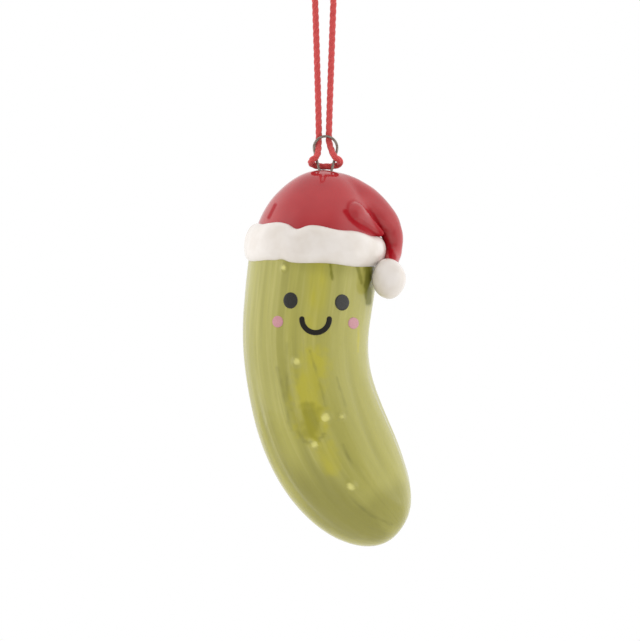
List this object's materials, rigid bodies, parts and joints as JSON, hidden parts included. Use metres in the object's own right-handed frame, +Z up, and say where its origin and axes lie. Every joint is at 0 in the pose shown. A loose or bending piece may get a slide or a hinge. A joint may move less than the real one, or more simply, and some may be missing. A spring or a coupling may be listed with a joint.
{
  "type": "pickle ornament",
  "caption": "Hanging ceramic pickle with a smiling face and a drooping winter cap, on a wire eyelet and a knotted cord loop that lets it turn and swing.",
  "frame": {"origin": "middle of the hook inside the top of the cord loop, which is what holds the ornament up", "axes": "+Z up along the line that the ornament hangs on, -Y the way its face looks, +X to the viewer's right"},
  "size_m": [0.0451, 0.038, 0.1765],
  "materials": {
    "green_glaze": "gloss",
    "red_glaze": "gloss",
    "white_glaze": "gloss",
    "black_print": "gloss",
    "pink_print": "gloss",
    "fired_wire": "satin",
    "red_cord": "matte"
  },
  "bodies": {
    "hanger": {"cord_knot": "red_cord", "cord_top": "red_cord"},
    "strands": {"left_strand": "red_cord", "right_strand": "red_cord"},
    "ornament": {"pickle_body": "green_glaze", "cap": "red_glaze", "fur_band": "white_glaze", "bobble": "white_glaze", "left_eye": "black_print", "right_eye": "black_print", "smile": "black_print", "left_cheek": "pink_print", "right_cheek": "pink_print", "wire_eyelet": "fired_wire", "cord_hitch": "red_cord"}
  },
  "joints": [
    {"name": "twist", "type": "hinge", "parent": "hanger", "child": "strands", "pos_m": [0, 0, -0.003], "axis": [0, 0, 1], "range_deg": [-150, 150]},
    {"name": "swing", "type": "hinge", "parent": "strands", "child": "ornament", "pos_m": [0, 0, -0.049], "axis": [1, 0, 0], "range_deg": [-60, 60]}
  ]
}
